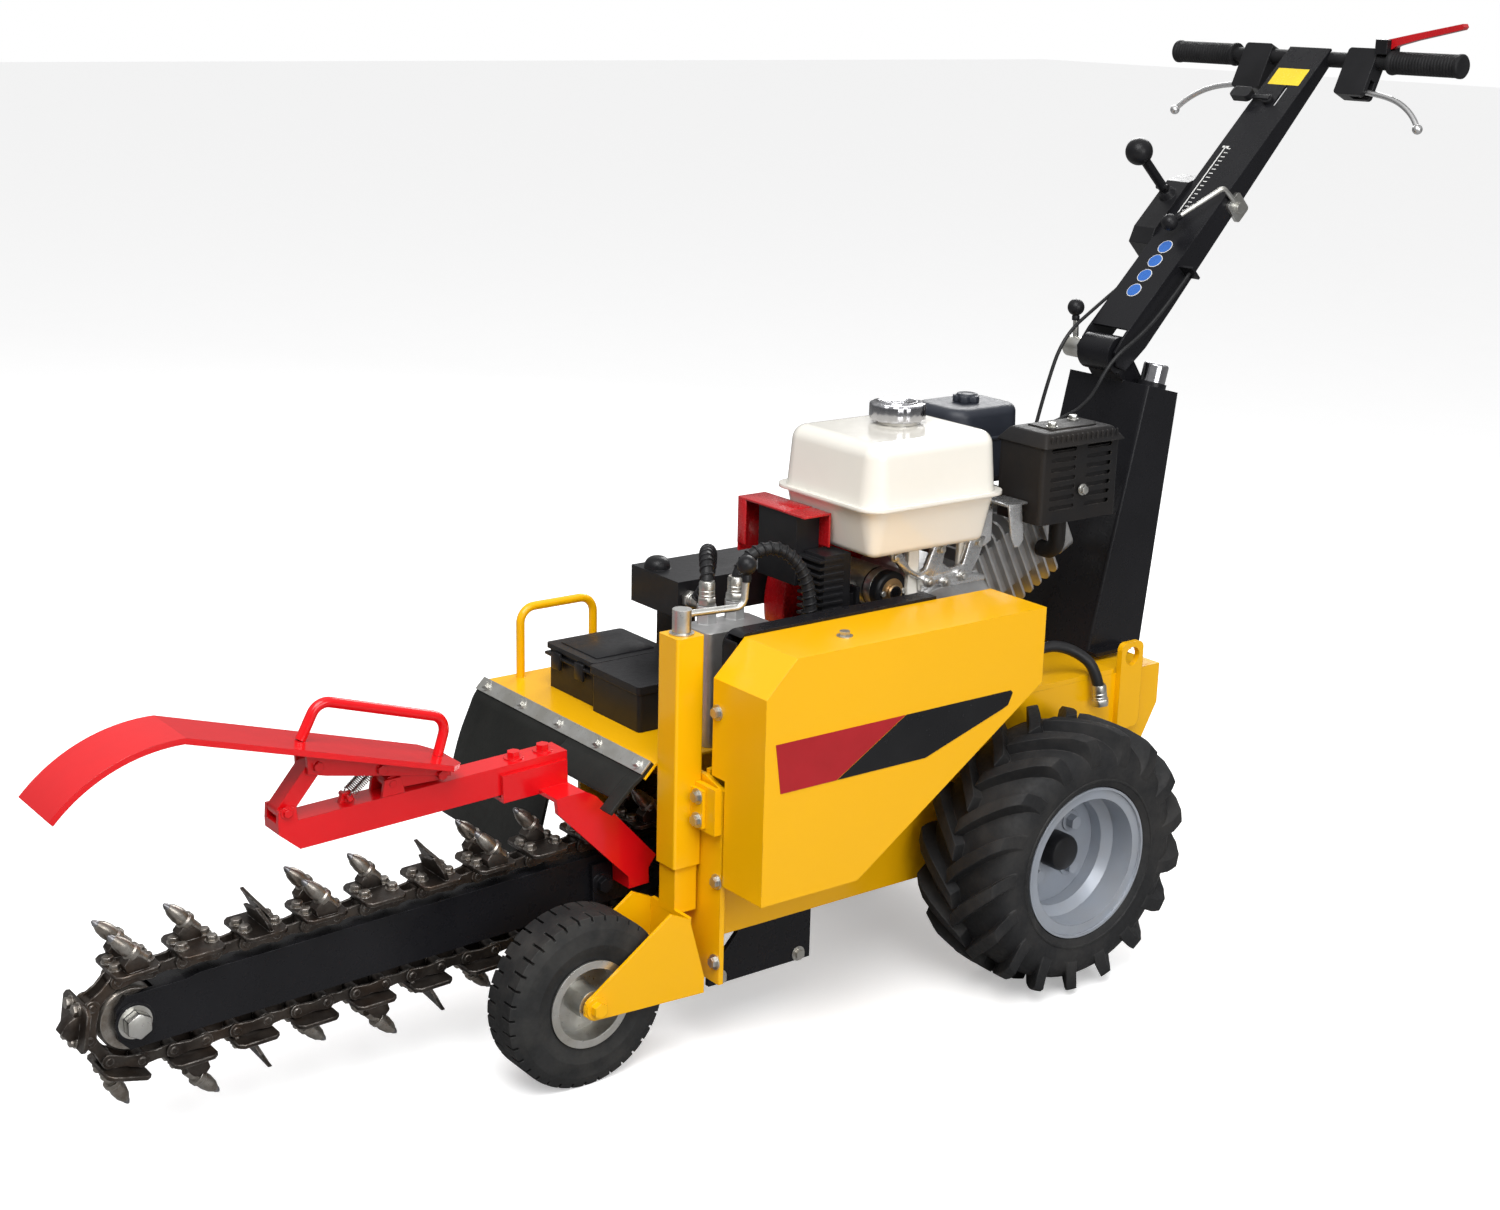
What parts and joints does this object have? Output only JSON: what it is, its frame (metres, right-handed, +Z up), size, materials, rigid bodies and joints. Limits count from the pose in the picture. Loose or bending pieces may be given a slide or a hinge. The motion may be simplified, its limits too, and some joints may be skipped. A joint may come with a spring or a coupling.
{
  "type": "walk-behind chain trencher",
  "caption": "Walk-behind chain trencher: long digging chain with crumber shoe, jack front wheel, engine with belt drive, two lugged drive wheels and a tilting handlebar.",
  "frame": {"origin": "on the ground under the middle of the overall box", "axes": "+X forward along the digging boom, +Y to the machine's left (belt cover side), +Z up"},
  "size_m": [2.2084, 0.707, 1.3988],
  "materials": {
    "yellow_paint": "glossy powder coat",
    "black_paint": "satin powder coat",
    "red_paint": "glossy powder coat",
    "cream_paint": "gloss enamel",
    "rim_paint": "semi-gloss silver grey paint",
    "zinc": "bright zinc plate",
    "worn_steel": "dark oiled steel with bright worn edges",
    "cast_aluminium": "as-cast and machined",
    "cast_iron": "painted casting",
    "chrome": "polished",
    "tyre_rubber": "matte",
    "black_rubber": "matte",
    "black_plastic": "fine grain",
    "red_plastic": "gloss"
  },
  "bodies": {
    "chassis": {"frame_sides": "yellow_paint", "rear_beam": "yellow_paint", "engine_deck": "yellow_paint", "front_deck": "yellow_paint", "flap_strip": "zinc", "rubber_flap": "black_rubber", "mast_tube": "yellow_paint", "chain_gearbox": "black_paint", "belt_cover": "yellow_paint", "inner_guard": "black_paint", "transaxle": "cast_iron", "hydraulic_tank": "black_paint", "engine_block": "cast_aluminium", "fan_shroud": "red_paint", "engine_electrics": "black_plastic", "fuel_tank": "cream_paint", "air_cleaner": "black_plastic", "muffler": "black_paint", "drive_belt": "black_rubber", "battery": "black_plastic", "tool_box": "black_plastic", "valve_cover": "black_plastic", "hydraulic_pump": "cast_aluminium", "hydraulic_hoses": "black_rubber", "chassis_bolts": "zinc", "control_cables": "black_rubber"},
    "left_drive_wheel": {"left_tyre": "tyre_rubber", "left_wheel": "rim_paint"},
    "right_drive_wheel": {"right_tyre": "tyre_rubber", "right_wheel": "rim_paint"},
    "fork": {"front_fork": "yellow_paint"},
    "front_wheel": {"front_tyre": "tyre_rubber", "front_rim": "zinc"},
    "crank": {"crank_handle": "zinc"},
    "boom": {"boom_bar": "black_paint", "digging_chain": "worn_steel", "cutter_teeth": "worn_steel", "crumber_arm": "red_paint", "crumber_springs": "zinc"},
    "sprocket": {"drive_sprocket": "worn_steel"},
    "idler": {"tip_roller": "worn_steel"},
    "crumber_front_link": {"front_link": "red_paint"},
    "crumber_rear_link": {"rear_link": "red_paint"},
    "shoe": {"crumber_shoe": "red_paint"},
    "handle": {"handle_arm": "black_paint", "handlebar": "black_rubber", "lever_housings": "black_plastic", "gear_console": "black_plastic"},
    "tilt_clamp": {"clamp_lever": "zinc"},
    "left_hand_lever": {"left_lever": "cast_aluminium"},
    "right_hand_lever": {"right_lever": "cast_aluminium"},
    "presence_lever": {"red_lever": "red_plastic"},
    "throttle": {"throttle_lever": "black_plastic"},
    "drive_stick": {"joystick": "black_plastic"},
    "handle_side_lever": {"side_lever": "zinc"},
    "filler_cap": {"fuel_cap": "chrome"},
    "oil_cap": {"breather_cap": "chrome"},
    "lid": {"tool_box_lid": "black_plastic"},
    "small_pulley": {"engine_pulley": "cast_iron"},
    "large_pulley": {"pump_pulley": "cast_iron"}
  },
  "joints": [
    {"name": "left_wheel_spin", "type": "hinge", "parent": "chassis", "child": "left_drive_wheel", "pos_m": [-0.315, 0.271, 0.206], "axis": [0, 1, 0], "continuous": true},
    {"name": "right_wheel_spin", "type": "hinge", "parent": "chassis", "child": "right_drive_wheel", "pos_m": [-0.315, -0.271, 0.206], "axis": [0, 1, 0], "continuous": true},
    {"name": "crank_turn", "type": "hinge", "parent": "chassis", "child": "crank", "pos_m": [0.273, 0.137, 0.62], "axis": [0, 0, 1], "range_deg": [-6480, 3600]},
    {"name": "mast_slide", "type": "slide", "parent": "chassis", "child": "fork", "axis": [0, 0, 1], "range_m": [-0.09, 0.05]},
    {"name": "front_wheel_spin", "type": "hinge", "parent": "fork", "child": "front_wheel", "pos_m": [0.441, 0.143, 0.122], "axis": [0, 1, 0], "continuous": true},
    {"name": "boom_lift", "type": "hinge", "parent": "chassis", "child": "boom", "pos_m": [0.1315, 0, 0.2225], "axis": [0, 1, 0], "range_deg": [0, 60]},
    {"name": "sprocket_spin", "type": "hinge", "parent": "chassis", "child": "sprocket", "pos_m": [0.1315, 0, 0.2225], "axis": [0, 1, 0], "continuous": true},
    {"name": "idler_spin", "type": "hinge", "parent": "boom", "child": "idler", "pos_m": [1.00497, 0, 0.192], "axis": [0, 1, 0], "continuous": true},
    {"name": "rear_link_turn", "type": "hinge", "parent": "boom", "child": "crumber_rear_link", "pos_m": [0.64374, 0, 0.42675], "axis": [0, 1, 0], "range_deg": [0, 40], "stiffness_Nm_per_rad": 60, "springref_deg": -17.19, "deforming": ["crumber_springs"]},
    {"name": "front_link_turn", "type": "hinge", "parent": "boom", "child": "crumber_front_link", "pos_m": [0.79378, 0, 0.41951], "axis": [0, 1, 0], "range_deg": [0, 19]},
    {"name": "shoe_swing", "type": "hinge", "parent": "crumber_rear_link", "child": "shoe", "pos_m": [0.57274, 0, 0.42522], "axis": [0, 1, 0], "range_deg": [-29, 0]},
    {"name": "handle_tilt", "type": "hinge", "parent": "chassis", "child": "handle", "pos_m": [-0.6426, 0, 0.883], "axis": [0, 1, 0], "range_deg": [-15, 30], "deforming": ["control_cables"]},
    {"name": "clamp_lever_turn", "type": "hinge", "parent": "handle", "child": "tilt_clamp", "pos_m": [-0.6426, -0.06, 0.883], "axis": [0, 1, 0], "range_deg": [-60, 0]},
    {"name": "left_lever_squeeze", "type": "hinge", "parent": "handle", "child": "left_hand_lever", "pos_m": [-1.06421, 0.118, 1.28916], "axis": [0.9135, 0, 0.4067], "range_deg": [0, 18], "stiffness_Nm_per_rad": 3, "springref_deg": -11.46},
    {"name": "right_lever_squeeze", "type": "hinge", "parent": "handle", "child": "right_hand_lever", "pos_m": [-1.06421, -0.118, 1.28916], "axis": [-0.9135, 0, -0.4067], "range_deg": [0, 18], "stiffness_Nm_per_rad": 3, "springref_deg": -11.46},
    {"name": "red_lever_press", "type": "hinge", "parent": "handle", "child": "presence_lever", "pos_m": [-1.08454, 0.149, 1.36184], "axis": [1, 0, 0], "range_deg": [-10, 0], "stiffness_Nm_per_rad": 2, "springref_deg": 17.19},
    {"name": "throttle_turn", "type": "hinge", "parent": "handle", "child": "throttle", "pos_m": [-0.99333, -0.008, 1.26767], "axis": [0.7071, 0, 0.7071], "range_deg": [-25, 25]},
    {"name": "joystick_tilt", "type": "hinge", "parent": "handle", "child": "drive_stick", "pos_m": [-0.81987, -0.066, 1.12999], "axis": [0, 1, 0], "range_deg": [-15, 15], "stiffness_Nm_per_rad": 4},
    {"name": "side_lever_turn", "type": "hinge", "parent": "handle", "child": "handle_side_lever", "pos_m": [-0.87594, 0.045, 1.10503], "axis": [0, 1, 0], "range_deg": [-25, 3]},
    {"name": "fuel_cap_lift", "type": "slide", "parent": "chassis", "child": "filler_cap", "axis": [0, 0, 1], "range_m": [0, 0.05]},
    {"name": "breather_cap_lift", "type": "slide", "parent": "chassis", "child": "oil_cap", "axis": [-0.2444, 0, 0.9697], "range_m": [0, 0.028]},
    {"name": "lid_open", "type": "hinge", "parent": "chassis", "child": "lid", "pos_m": [0.104, -0.06, 0.4713], "axis": [0, 1, 0], "range_deg": [-70, 0]},
    {"name": "pump_pulley_spin", "type": "hinge", "parent": "chassis", "child": "large_pulley", "pos_m": [0.115, 0.225, 0.38], "axis": [0, 1, 0], "continuous": true},
    {"name": "engine_pulley_spin", "type": "hinge", "parent": "chassis", "child": "small_pulley", "pos_m": [-0.197, 0.225, 0.519], "axis": [0, 1, 0], "continuous": true}
  ],
  "couplings": [
    {"joint": "mast_slide", "follows": "crank_turn", "m_per_rad": 0.00079577},
    {"joint": "idler_spin", "follows": "sprocket_spin", "ratio": 1},
    {"joint": "front_link_turn", "follows": "rear_link_turn", "ratio": 0.4732},
    {"joint": "shoe_swing", "follows": "rear_link_turn", "ratio": -0.7215},
    {"joint": "engine_pulley_spin", "follows": "pump_pulley_spin", "ratio": 2}
  ]
}
